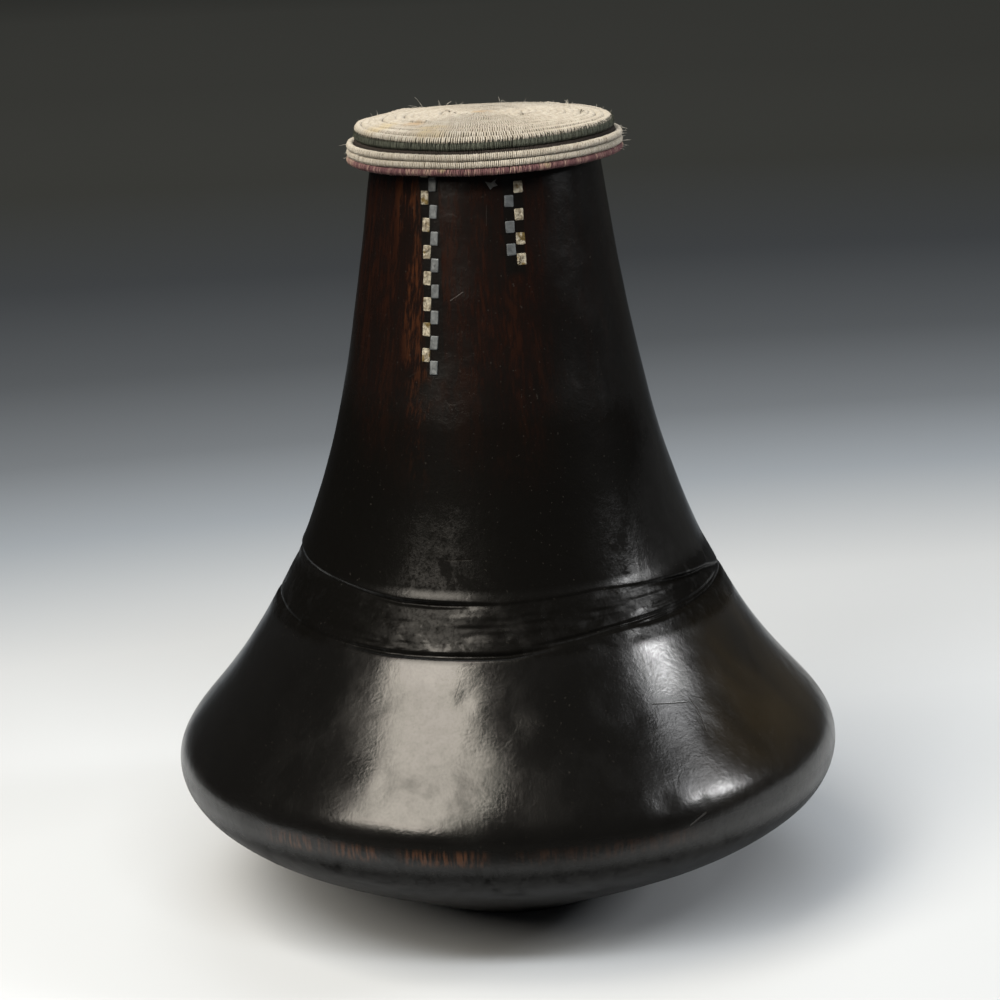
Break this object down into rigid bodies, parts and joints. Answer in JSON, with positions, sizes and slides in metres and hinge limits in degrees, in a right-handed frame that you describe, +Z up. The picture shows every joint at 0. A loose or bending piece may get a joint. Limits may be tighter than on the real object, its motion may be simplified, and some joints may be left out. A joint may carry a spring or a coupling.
{
  "type": "wooden milk vessel",
  "caption": "Carved wooden milk vessel with a wide round belly, tall tapering neck, chequered metal inlays and a loose coiled basketry lid.",
  "frame": {"origin": "centre of the flat foot, on the surface that the vessel stands on", "axes": "+Z up along the vessel's axis through the lid, -Y towards the side with the inlays, +X to the right of that side"},
  "size_m": [0.2488, 0.2488, 0.2965],
  "materials": {
    "carved_wood": "hand-carved hardwood, blackened and polished by years of handling and fat",
    "grey_inlay": "hammered, dulled",
    "pale_inlay": "hammered, pitted and grimy",
    "cream_fibre": "undyed plant fibre wrapped tightly round a coil",
    "dark_fibre": "dyed dark plant fibre",
    "maroon_fibre": "dyed maroon plant fibre, faded"
  },
  "bodies": {
    "body": {"vessel": "carved_wood", "left_inlay_01": "pale_inlay", "left_inlay_02": "grey_inlay", "left_inlay_03": "pale_inlay", "left_inlay_04": "grey_inlay", "left_inlay_05": "pale_inlay", "left_inlay_06": "grey_inlay", "left_inlay_07": "pale_inlay", "left_inlay_08": "grey_inlay", "left_inlay_09": "pale_inlay", "left_inlay_10": "grey_inlay", "left_inlay_11": "pale_inlay", "left_inlay_12": "grey_inlay", "left_inlay_13": "pale_inlay", "left_inlay_14": "grey_inlay", "left_inlay_15": "pale_inlay", "left_inlay_16": "grey_inlay", "right_inlay_01": "pale_inlay", "right_inlay_02": "grey_inlay", "right_inlay_03": "pale_inlay", "right_inlay_04": "grey_inlay", "right_inlay_05": "pale_inlay", "right_inlay_06": "grey_inlay", "right_inlay_07": "pale_inlay", "torn_inlay": "grey_inlay"},
    "lid": {"lid_crown_coil": "cream_fibre", "lid_dark_coil": "dark_fibre", "lid_side_coil": "cream_fibre", "lid_rim_coil": "maroon_fibre"}
  },
  "joints": [
    {"name": "lid_lift", "type": "slide", "parent": "body", "child": "lid", "axis": [0, 0, 1], "range_m": [0, 0.12]}
  ]
}
